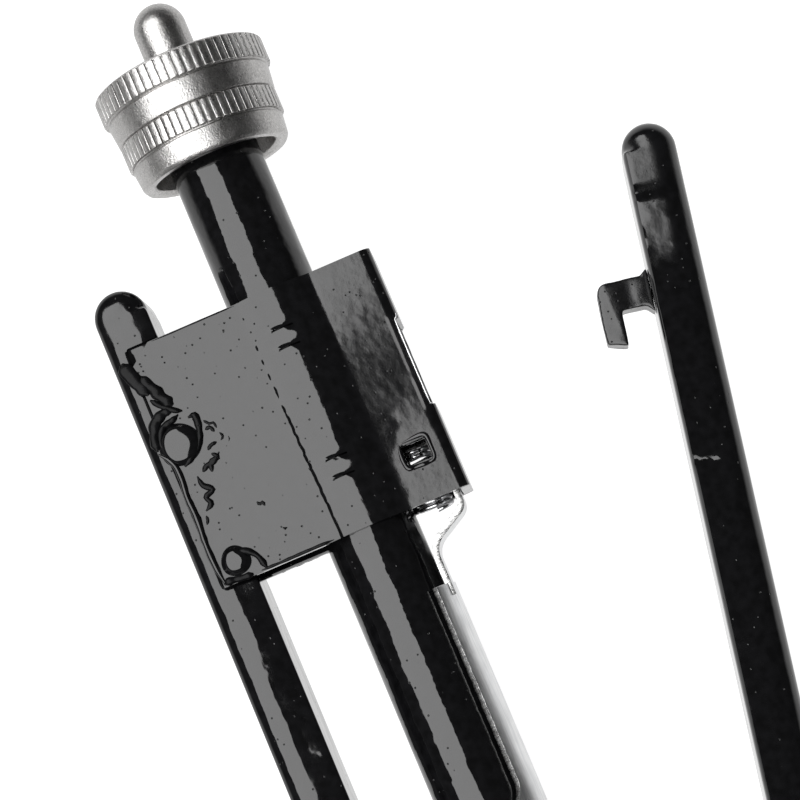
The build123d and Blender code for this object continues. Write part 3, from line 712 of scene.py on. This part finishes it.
def lock_bracket():
    """The folded sheet bracket with thick enamel over its edges and creases."""
    stops = [0, CORNER[0], *SLOT, *WINDOW[:2], LENGTH]
    for crimp in CRIMPS:
        for side in (-1, 1):
            stops += [crimp + side * CRIMP_GAP / 2 - SLIT / 2, crimp + side * CRIMP_GAP / 2 + SLIT / 2]
    rows = steps_between(sorted(stops), MESH_STEP)
    section = section_points()
    points = []
    for along in rows:
        for y, z, out_y, out_z, side in section:
            push = plate_relief(along, y, side) if side else 0.02 * noise.noise(Vector((along, z, 4)) / 5)
            if side == 0:
                push -= twist(along, y) * abs(out_z)
                if SLOT[0] - 0.5 < along < SLOT[1] + 0.5:
                    push += 0.1 * hump(abs(z) - SLOT_HALF - 0.1, 0.16)
            points.append((bracket_low.x + along * MM, AXIS.y + (y + out_y * push) * MM,
                           AXIS.z + (z + out_z * push) * MM))
    faces = []
    count = len(section)
    for row in range(len(rows) - 1):
        middle = (rows[row] + rows[row + 1]) / 2
        for spot in range(count - 1):
            y = (section[spot][0] + section[spot + 1][0]) / 2
            z = (section[spot][1] + section[spot + 1][1]) / 2
            on_wall = section[spot][4] == 0 or section[spot + 1][4] == 0
            if not in_opening(middle, y, z, on_wall):
                first = row * count + spot
                faces.append((first, first + 1, first + count + 1, first + count))
    mesh = mesh_from("bracket_sheet", points, faces)
    form = bmesh.new()
    form.from_mesh(mesh)
    plate = [face for face in form.faces if face.calc_center_median().z > AXIS.z + 5 * MM]
    if sum(face.normal.z for face in plate) < 0:
        bmesh.ops.reverse_faces(form, faces=form.faces)
    cut = Vector((bracket_low.x + CORNER[0] * MM, AXIS.y + EDGE_Y * MM, 0))
    across = Vector((-CORNER[1], -CORNER[0], 0)).normalized()
    bmesh.ops.bisect_plane(form, geom=form.verts[:] + form.edges[:] + form.faces[:], plane_co=cut,
                           plane_no=across, clear_outer=True)
    form.to_mesh(mesh)
    form.free()
    mesh = shaped("bracket_sheet", mesh,
                  ("SOLIDIFY", {"thickness": SHEET_T * MM, "offset": -1, "use_even_offset": True}),
                  ("BEVEL", {"width": 0.16 * MM, "segments": 2, "angle_limit": SHEET_BEVEL_ANGLE}))
    sprayed(mesh, bracket_skin)
    return new_piece("bracket_sheet", mesh, ENAMEL, "fixed_side", "black_enamel", "lock_bracket")


lock_bracket()


# ---- forged halves --------------------------------------------------------------------------------
# Places are in each half's own frame, where its handle lies along X on the -Y side of the axis.
HANDLE_END_X = -162.4
CROWN_END_X = -46.0    # the crown runs out into the neck
FORGE_GRAIN = 0.32
HALF_DEPTH = 5.5       # half the depth of a handle
ROUND_R = 3.1          # the forging's outer rounding
FIXED_FALL = 0.55      # share of that rounding's fall which the thick enamel leaves
MOVING_FALL = 1.0
INSET = 0.04           # the remeshed skin is drawn in a little, clear of its neighbours
OPEN_ANGLE = 11.0      # from parallel handles to standing open
FIXED_CREST_Y = -17.2  # the faces are highest here and fall towards the inner flat
MOVING_CREST_Y = -18.2
INNER_EDGE_Y = -14.15  # the moving handle's faces drop off steeply beyond this
# Where the moving handle is flattened, in distances from its end: start, full, fading, end.
PRESSED = (1.2, 2.4, 7.3, 7.9)
HAMMERED = (9.3, 9.9, 13.0, 20.0)
GROOVE = 8.6           # cross groove between the two
NICK = 40.6            # slanting crease beside the hook


def fixed_frame():
    """The fixed half's own frame, in millimetres, seen from the scene."""
    return Matrix.Translation(AXIS) @ Matrix.Diagonal((MM, MM, MM, 1))


def moving_frame():
    """The moving half's own frame: the fixed one turned over and swung open about the pivot."""
    angle = math.radians(OPEN_ANGLE)
    cos, sin = math.cos(angle), math.sin(angle)
    turned = Matrix(((cos, -sin, 0), (-sin, -cos, 0), (0, 0, -1)))
    return Matrix.Translation(AXIS) @ turned.to_4x4() @ Matrix.Diagonal((MM, MM, MM, 1))


def fixed_crown(place):
    """How far the fixed handle's faces fall below the forging's flats."""
    from_end = place.x - HANDLE_END_X
    crest = FIXED_CREST_Y + 0.9 * (1 - ramp(from_end, 8, 13)) - 0.6 * ramp(from_end, 40, 50)
    fall = 0.115 * max(0.0, place.y - crest - 0.25) * ramp(from_end, 1, 3)
    ragged = 1 - ramp(from_end, 6, 9)
    fall += (0.05 + 0.1 * ragged) * noise.noise(place / 5.0)
    return fall + (0.03 + 0.03 * ragged) * noise.noise(place / 1.7)


def moving_crown(place):
    """The moving handle is flatter, with a pressed end, a cross groove and a hammered patch."""
    from_end = place.x - HANDLE_END_X
    inner = max(0.0, place.y - MOVING_CREST_Y)
    hammered = band(from_end, *HAMMERED)
    fall = 0.095 * inner * band(from_end, *PRESSED) + 0.085 * inner * hammered
    fall += hammered * (0.05 * noise.noise(place / 1.2) + 0.03 * noise.noise(place / 0.6))
    fall += 0.3 * hump(from_end - GROOVE, 0.5) * ramp(place.y, -19.0, -17.8)
    fall += 0.2 * hump(from_end - NICK + 0.2 * inner, 0.22) * ramp(place.y, -17.6, -16.4)
    fall += 2.2 * max(0.0, place.y - INNER_EDGE_Y)
    return fall + 0.035 * noise.noise(place / 4.0) + 0.008 * noise.noise(place / 1.3)


def flattened(height, kept):
    """Height in the rounded section once its fall is down to the kept share; the side stretches to match."""
    shoulder = HALF_DEPTH - ROUND_R
    if height < shoulder:
        return height * (HALF_DEPTH - kept * ROUND_R) / shoulder
    return HALF_DEPTH - kept * (HALF_DEPTH - height)


def moving_skin(place):
    """Overspray of the moving handle: the pressed end and the hammered patch below it."""
    from_end = place.x - HANDLE_END_X
    patch = band(from_end, 1.0, PRESSED[1], *HAMMERED[2:]) * (1 - 0.9 * hump(from_end - GROOVE, 0.8))
    return 0.8 * patch * (1 - ramp(place.y, -15.0, -14.2))


def fixed_skin(place):
    """Overspray of the fixed handle, over its end beside the bracket's corner."""
    return 0.35 * band(place.x - HANDLE_END_X, 0.5, 2.0, 5.0, 8.0)


def forged_half(name, node, body, place, kept_fall, crown, skin):
    """Copy of a forging, closed over with thick enamel: soft edges, crowned handle, slow waves."""
    mesh = shaped(name, node_copy(name, node, place),
                  ("REMESH", {"mode": "VOXEL", "voxel_size": FORGE_GRAIN}),
                  ("SMOOTH", {"factor": 0.5, "iterations": 3}))
    normals = [vert.normal.copy() for vert in mesh.vertices]
    for vert, normal in zip(mesh.vertices, normals):
        vert.co -= normal * INSET
    sprayed(mesh, skin)
    for vert in mesh.vertices:
        share = 1 - ramp(vert.co.x, CROWN_END_X, CROWN_END_X + 12)
        height = min(abs(vert.co.z), HALF_DEPTH)
        level = ramp(height, 0.5, 5.0)
        vert.co.z += math.copysign(share * (flattened(height, kept_fall) - height), vert.co.z)
        vert.co.z -= math.copysign(share * level * crown(vert.co), vert.co.z)
    mesh.transform(place)
    if place.determinant() < 0:
        mesh.flip_normals()
    return new_piece(name, mesh, HANDLE_ENAMEL, body, "black_enamel", node)


forged_half("fixed_forging", "fixed_jaw_handle", "fixed_side", fixed_frame(), FIXED_FALL,
            fixed_crown, fixed_skin)
forged_half("moving_forging", "moving_jaw_handle", "moving_side", moving_frame(), MOVING_FALL,
            moving_crown, moving_skin)


# ---- hook -----------------------------------------------------------------------------------------
HOOK_GRAIN = 0.16 * MM
FINGER_W = 2.2 * MM    # the hook's finger, whose faces slope towards its tip side
FINGER_SLOPE = 0.12


def hook():
    """The hook with thick enamel over its edges."""
    mesh = shaped("hook_enamelled", node_copy("hook_enamelled", "latch_hook"),
                  ("REMESH", {"mode": "VOXEL", "voxel_size": HOOK_GRAIN}),
                  ("SMOOTH", {"factor": 0.5, "iterations": 14}))
    finger_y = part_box("latch_hook")[0].y + FINGER_W
    for vert in mesh.vertices:
        vert.co += noise.noise_vector(vert.co / (2.0 * MM)) * 0.1 * MM
        outside = max(0.0, finger_y - vert.co.y)
        vert.co.z -= math.copysign(FINGER_SLOPE * outside, vert.co.z - AXIS.z)
        vert.co.z += 0.03 * MM * noise.noise(vert.co / (1.4 * MM))
    sprayed(mesh, lambda place: 0.8)
    return new_piece("hook_enamelled", mesh, ENAMEL, "moving_side", "black_enamel", "latch_hook")


hook()


# ---- runs and beads of paint on the bracket ---------------------------------------------------------
# Each line is (half width, half height, points), with points (along from the bracket's rear end, across
# from the barrel axis).
WRINKLES = (
    (0.8, 0.3, ((1.2, -18.9), (2.6, -18.5), (4.2, -17.9), (5.8, -17.3))),
    (0.7, 0.36, ((3.4, -17.5), (5.0, -16.7), (6.6, -16.0), (8.0, -15.2))),
    (0.35, 0.3, ((6.4, -17.4), (7.6, -16.4), (8.6, -15.2), (9.0, -14.4))),
    (0.62, 0.4, ((8.5, -15.3), (8.4, -16.5), (9.2, -17.9), (10.6, -18.6), (12.3, -18.9))),
    (0.4, 0.35, ((9.2, -15.0), (9.6, -15.9), (9.9, -17.1), (11.0, -18.0), (12.4, -18.2))),
    (0.42, 0.36, ((10.0, -14.1), (10.1, -13.3), (11.7, -13.4), (13.2, -14.0), (14.2, -15.2), (15.1, -16.6))),
    (0.26, 0.2, ((12.1, -12.8), (12.0, -12.2), (12.7, -11.9))),
    (0.24, 0.2, ((13.9, -12.1), (14.0, -12.9), (14.4, -13.4))),
    (0.3, 0.22, ((15.2, -12.4), (15.9, -13.3), (16.0, -14.2), (16.5, -14.9))),
    (0.32, 0.26, ((16.7, -15.7), (17.9, -15.5), (18.8, -14.6), (19.3, -15.7), (20.2, -15.4), (20.8, -16.3))),
    (0.2, 0.16, ((21.3, -16.5), (21.8, -16.5), (22.3, -16.8))),
    (0.1, 0.12, ((13.8, -10.6), (14.1, -10.6), (14.4, -10.8))),
    (0.2, 0.16, ((11.0, -12.6), (11.6, -12.1), (11.7, -11.6), (12.4, -11.5))),
    (0.32, 0.2, ((14.9, -13.2), (15.6, -12.6), (15.8, -13.6), (16.9, -13.9))),
    (0.13, 0.12, ((13.0, -11.4), (13.6, -11.2), (13.9, -11.6))),
    (0.22, 0.14, ((22.1, -10.5), (22.5, -10.3), (22.4, -9.9), (22.9, -9.8))),
    (0.16, 0.12, ((26.0, -8.9), (26.3, -8.6), (26.2, -8.4))),
    (0.42, 0.34, ((29.4, -17.6), (29.3, -16.8), (29.5, -15.4), (29.6, -14.0))),
    (0.17, 0.14, ((29.6, -13.0), (29.62, -10.0), (29.6, -7.0), (29.62, -3.9))),
    (0.09, 0.08, ((0.1, -14.6), (0.13, -12.0), (0.1, -8.0), (0.13, -4.2))),
    (0.4, 0.4, ((28.4, -15.9), (27.2, -15.5), (26.7, -14.2), (27.7, -12.9), (29.6, -12.3))),
)
BEADS = (
    (0.42, 0.45, ((12.6, -18.9), (14.3, -17.7), (16.3, -17.5), (18.5, -17.7), (21.2, -17.6), (24.4, -17.8),
                  (27.5, -17.7), (29.6, -17.4))),
    (0.26, 0.22, ((22.5, 7.4), (22.4, 9.6), (22.7, 10.3), (24.0, 10.4), (25.4, 10.3), (25.7, 9.6),
                  (25.6, 7.6), (25.3, 6.9), (23.6, 6.8), (22.6, 7.0))),
)
# Painted highlight: bright bare metal along the hook slot's edges and round its corners, put where the glint
# on them shows.
SLOT_EDGE_GLINTS = (
    (0.11, 0.11, ((8.3, 12.62), (8.7, 12.56), (8.85, 12.3), (9.6, 12.26), (14.0, 12.24), (19.0, 12.26),
                  (19.5, 12.3), (19.6, 12.5))),
)


RUN_TREE = run_tree()
LUMPS = 1.3            # how uneven a line's width is
LUMP_SIZE = 1.6 * MM
GLINT_LEVEL = 0.05      # of the painted edge highlight, above the slot's edge


def raised_lines(name, lines, level, finish, slot):
    """Raised lines at a level over the barrel axis on the upper plate and, turned over, on the lower one."""
    parts = []
    for width, height, line in lines:
        points = [(bracket_low.x + x * MM, AXIS.y + y * MM, AXIS.z + level * MM) for x, y in line]
        edges = [(i, i + 1) for i in range(len(points) - 1)]
        path = bpy.data.meshes.new("bead")
        path.from_pydata(points, edges, [])
        parts.append(grown("bead", path, RUN_TREE, {
            "Width": width * MM, "Height": height * MM, "Level": points[0][2], "Lumps": LUMPS,
            "Lump Size": LUMP_SIZE, "Finish": finish}))
    above = joined(name, *parts)
    below = above.copy()
    below.transform(Matrix.Translation((0, 0, 2 * AXIS.z)) @ Matrix.Diagonal((1, 1, -1, 1)))
    below.flip_normals()
    return new_piece(name, joined(name, above, below), finish, "fixed_side", slot)


LEAF_GRAIN = 0.12 * MM


def leaf():
    """The leaf spring that holds the handles apart; it is attached to no body."""
    mesh = shaped("leaf_strip", node_copy("leaf_strip", "leaf_spring"),
                  ("REMESH", {"mode": "VOXEL", "voxel_size": LEAF_GRAIN}),
                  ("SMOOTH", {"factor": 0.5, "iterations": 2}))
    piece = new_piece("leaf_strip", mesh, WIRE, None, "spring_steel", "leaf_spring")
    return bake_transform(piece)


FRONT_RIVET_R = 1.3
REAR_RIVET_R = 2.05
RIVET_IN = 2.0         # rear rivet's axis from the corner of the rivets' box
FRONT_RIVET_IN = 1.6


def rivet_heads():
    """Flat rivet heads drowned in enamel, on both plates."""
    spots = ((rivets_low.x + RIVET_IN * MM, rivets_low.y + RIVET_IN * MM, REAR_RIVET_R),
             (rivets_high.x - FRONT_RIVET_IN * MM, rivets_high.y - FRONT_RIVET_IN * MM, FRONT_RIVET_R))
    steps = 48
    parts = []
    for x, y, radius in spots:
        outline = ((0.02, 0.62), (radius * 0.5, 0.62), (radius * 0.85, 0.58), (radius, 0.4),
                   (radius + 0.22, 0.12), (radius + 0.5, -0.03), (radius + 0.6, -0.3), (0.02, -0.3))
        for side in (1, -1):
            points = []
            for reach, height in outline:
                for step in range(steps):
                    turn = 2 * math.pi * step / steps
                    wobbly = reach * (1 + 0.03 * math.sin(3 * turn + x * 900)) * MM
                    points.append((x + wobbly * math.cos(turn), y + wobbly * math.sin(turn),
                                   AXIS.z + side * (PLATE_Z + height) * MM))
            last = (len(outline) - 1) * steps
            caps = [tuple(range(steps)), tuple(range(last, last + steps))]
            faces = caps + ring_faces(len(outline), steps, False)
            parts.append(mesh_from("rivet_head", points, faces))
    mesh = joined("rivet_heads", *parts)
    return new_piece("rivet_heads", mesh, RUN_ENAMEL, "fixed_side", "black_enamel", "bracket_rivets")


leaf()
raised_lines("paint_beads", BEADS, PLATE_Z, RUN_ENAMEL, "black_enamel")
raised_lines("paint_wrinkles", WRINKLES, PLATE_Z, WRINKLE_ENAMEL, "black_enamel")
# painted highlight: bright metal lines along the hook slot's edges
raised_lines("slot_edge_glints", SLOT_EDGE_GLINTS, SLOT_HALF + GLINT_LEVEL, SHEET, "bright_zinc")
rivet_heads()


# ---- lock slide -------------------------------------------------------------------------------------
SLIDE_T = 0.8
SLIDE_R = 6.3          # middle of the sheet
SLIDE_REAR = -115.9
SLIDE_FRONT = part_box("lock_slide")[1].x / MM
WING_START = -92.0
WING_END = -83.0
TROUGH_Y = 4.35        # edges of the trough
WING_Y = -1.8          # edges of the wings, past the middle of the tube
LIP_REACH = 3.5
LIP_ANGLES = (70, 39)  # half the lip's spread, at its foot and at its edge
STRIP_HALF = 3.0       # half width of the strip
STRIP_Y = 6.0          # the strip lies here on the tube and steps out to the latch inside the bracket
LATCH_Y = 11.0
STRIP_START = 1.5      # overlap of the strip and the trough
STEP_X = (-120.6, -123.4)
LATCH_END_X = -135.6
STEP_RADII = (3.0, 1.4)
BEND_STEPS = 8


def sheet_grid(rows):
    """Points and faces of an open sheet from equal rows of points."""
    count = len(rows[0])
    points = [point for row in rows for point in row]
    faces = []
    for row in range(len(rows) - 1):
        for spot in range(count - 1):
            first = row * count + spot
            faces.append((first, first + 1, first + count + 1, first + count))
    return points, faces


def arc_row(x, radius, half_angle, count=41):
    """Row of points round the barrel axis on its +Y side, in millimetres."""
    row = []
    for i in range(count):
        angle = half_angle * (2 * i / (count - 1) - 1)
        row.append((x, radius * math.cos(angle), radius * math.sin(angle)))
    return row


def bent_line(corners, radii):
    """Points of a polyline with soft bends, as (x, y)."""
    points = [Vector(corners[0])]
    for before, corner, after, radius in zip(corners, corners[1:], corners[2:], radii):
        before, corner, after = Vector(before), Vector(corner), Vector(after)
        towards = (before - corner).normalized()
        onwards = (after - corner).normalized()
        half = towards.angle(onwards) / 2
        reach = radius / math.tan(half)
        for i in range(BEND_STEPS + 1):
            share = i / BEND_STEPS
            points.append(corner + towards * reach * (1 - share) ** 2 + onwards * reach * share ** 2)
    points.append(Vector(corners[-1]))
    return points


def lock_slide():
    """Bright sheet slide: trough with wings, finger lip, and the strip that runs into the bracket."""
    rear, front = SLIDE_REAR, SLIDE_FRONT
    trough = []
    for x in steps_between((rear, WING_START, WING_END, front), 0.4):
        edge = TROUGH_Y + (WING_Y - TROUGH_Y) * ramp(x, WING_START, WING_END)
        edge += 0.05 * noise.noise(Vector((x / 0.7, 0, 0)))
        trough.append(arc_row(x, SLIDE_R, math.acos(edge / SLIDE_R)))
    lip = []
    for reach in steps_between((0, LIP_REACH), 0.25):
        spread = LIP_ANGLES[0] + (LIP_ANGLES[1] - LIP_ANGLES[0]) * reach / LIP_REACH
        lip.append(arc_row(front - SLIDE_T / 2, SLIDE_R + reach, math.radians(spread)))
    corners = ((rear + STRIP_START, STRIP_Y), (STEP_X[0], STRIP_Y), (STEP_X[1], LATCH_Y),
               (LATCH_END_X, LATCH_Y))
    strip = []
    for point in bent_line(corners, STEP_RADII):
        strip.append([(point.x, point.y, STRIP_HALF * (2 * i / 12 - 1)) for i in range(13)])
    parts = []
    for rows in (trough, lip, strip):
        points, faces = sheet_grid(rows)
        points = [tuple(AXIS + Vector(point) * MM) for point in points]
        mesh = mesh_from("slide_part", points, faces)
        mesh.materials.append(SHEET)
        mesh.materials.append(SHEARED)
        parts.append(shaped("slide_part", mesh,
                            ("SOLIDIFY", {"thickness": SLIDE_T * MM, "offset": 0, "use_even_offset": True,
                                          "material_offset_rim": 1}),
                            ("BEVEL", {"width": 0.07 * MM, "segments": 2, "angle_limit": SHEET_BEVEL_ANGLE})))
    mesh = joined("slide_sheet", *parts)
    mesh.materials.append(SHEET)
    mesh.materials.append(SHEARED)
    return new_piece("slide_sheet", mesh, SHEET, "lock_slider", "bright_zinc", "lock_slide")


lock_slide()


# ---- CAD nodes that keep their own shape ----------------------------------------------------------
FINISHES = {
    "barrel_tube": TUBE_ENAMEL, "front_yoke": ENAMEL, "yoke_pin": STEEL,
    "tube_plug": STEEL, "drive_nut": STEEL, "nut_pin": STEEL, "pivot_rivet": STEEL,
    "leaf_rivet": STEEL, "spring_follower": STEEL,
    "twist_rod": STEEL, "rod_stop": STEEL, "spindle_cap": SATIN,
}
for node, finish in FINISHES.items():
    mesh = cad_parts[node].data
    mesh.materials.clear()
    mesh.materials.append(finish)


# ---- table, light and camera --------------------------------------------------------------------
TABLE_REACH = 4.0                              # metres from the pivot to each edge
TABLE_GAP = 0.2 * MM                           # under the lowest point of the tool
LIGHT_PLACE = (-0.18, -0.2094, 0.3986)         # metres
LIGHT_TARGET = (-0.18, -0.1044, 0.0286)
LIGHT_SIZE = (0.9, 0.448)
LIGHT_RADIANCE = 4.6
EYE = Vector((45.04, 20.12, 340)) * MM         # from the bracket's middle, at the barrel axis' height
AIM = Vector((2.19, 11.52, 0)) * MM
PICTURE_RIGHT = Vector((0.3881, 0.9188, -0.0722))
FIELD_OF_VIEW = math.radians(15.515)
SENSOR = 36


def table():
    """Large pale table under the lowest point of the tool."""
    reach = TABLE_REACH
    level = cad_box[0][2] - TABLE_GAP
    points = [(-reach, -reach, level), (reach, -reach, level), (reach, reach, level), (-reach, reach, level)]
    mesh = bpy.data.meshes.new("table")
    mesh.from_pydata(points, [], [(0, 1, 2, 3)])
    mesh.materials.append(table_top())
    top = in_scene("table", mesh)
    top.visible_glossy = False


def softbox():
    """Rectangular light of even brightness; its height runs in the plane of its place, its target and Z."""
    light = bpy.data.lights.new("main_softbox", "AREA")
    light.shape = "RECTANGLE"
    width, height = LIGHT_SIZE
    light.size = width
    light.size_y = height
    light.energy = LIGHT_RADIANCE * math.pi * width * height
    lamp = in_scene("main_softbox", light)
    lamp.location = LIGHT_PLACE
    lamp.rotation_euler = (Vector(LIGHT_TARGET) - Vector(LIGHT_PLACE)).to_track_quat("-Z", "Y").to_euler()
    lamp.visible_camera = False


def surroundings():
    """Pale room to the eye; in reflections it is dim above and at the sides and pale below."""
    world = bpy.data.worlds.new("room")
    bpy.context.scene.world = world
    world.use_nodes = True
    group = world.node_tree
    group.nodes.clear()
    seen = add_node(group, "ShaderNodeBackground", inputs={"Color": (1, 1, 1, 1), "Strength": 1.0})
    direction = add_node(group, "ShaderNodeTexCoord").outputs["Generated"]
    height = add_node(group, "ShaderNodeSeparateXYZ", inputs={0: direction}).outputs[2]
    glow = add_node(group, "ShaderNodeMapRange", {"interpolation_type": "SMOOTHSTEP"}, {
        "Value": height, "From Min": 0.1, "From Max": -0.25, "To Min": 0.05, "To Max": 1.0}).outputs[0]
    mirrored = add_node(group, "ShaderNodeBackground", inputs={"Color": (1, 1, 1, 1), "Strength": glow})
    rays = add_node(group, "ShaderNodeLightPath")
    mix = add_node(group, "ShaderNodeMixShader", inputs={
        0: rays.outputs["Is Camera Ray"], 1: mirrored.outputs[0], 2: seen.outputs[0]})
    add_node(group, "ShaderNodeOutputWorld", inputs={"Surface": mix.outputs[0]})


def camera():
    """Camera high above the bracket, a little towards the head, turned so that the tube rises leftwards."""
    middle = (bracket_low + bracket_high) / 2
    middle.z = AXIS.z
    eye = middle + EYE
    backward = (EYE - AIM).normalized()
    right = (PICTURE_RIGHT - backward * PICTURE_RIGHT.dot(backward)).normalized()
    up = backward.cross(right)
    data = bpy.data.cameras.new("camera")
    data.sensor_width = SENSOR
    data.lens = SENSOR / 2 / math.tan(FIELD_OF_VIEW / 2)
    data.clip_start = 0.01
    view = in_scene("camera", data)
    view.matrix_world = Matrix.Translation(eye) @ Matrix((right, up, backward)).transposed().to_4x4()
    bpy.context.scene.camera = view


table()
surroundings()
camera()
softbox()
bpy.context.scene.view_settings.view_transform = "Standard"
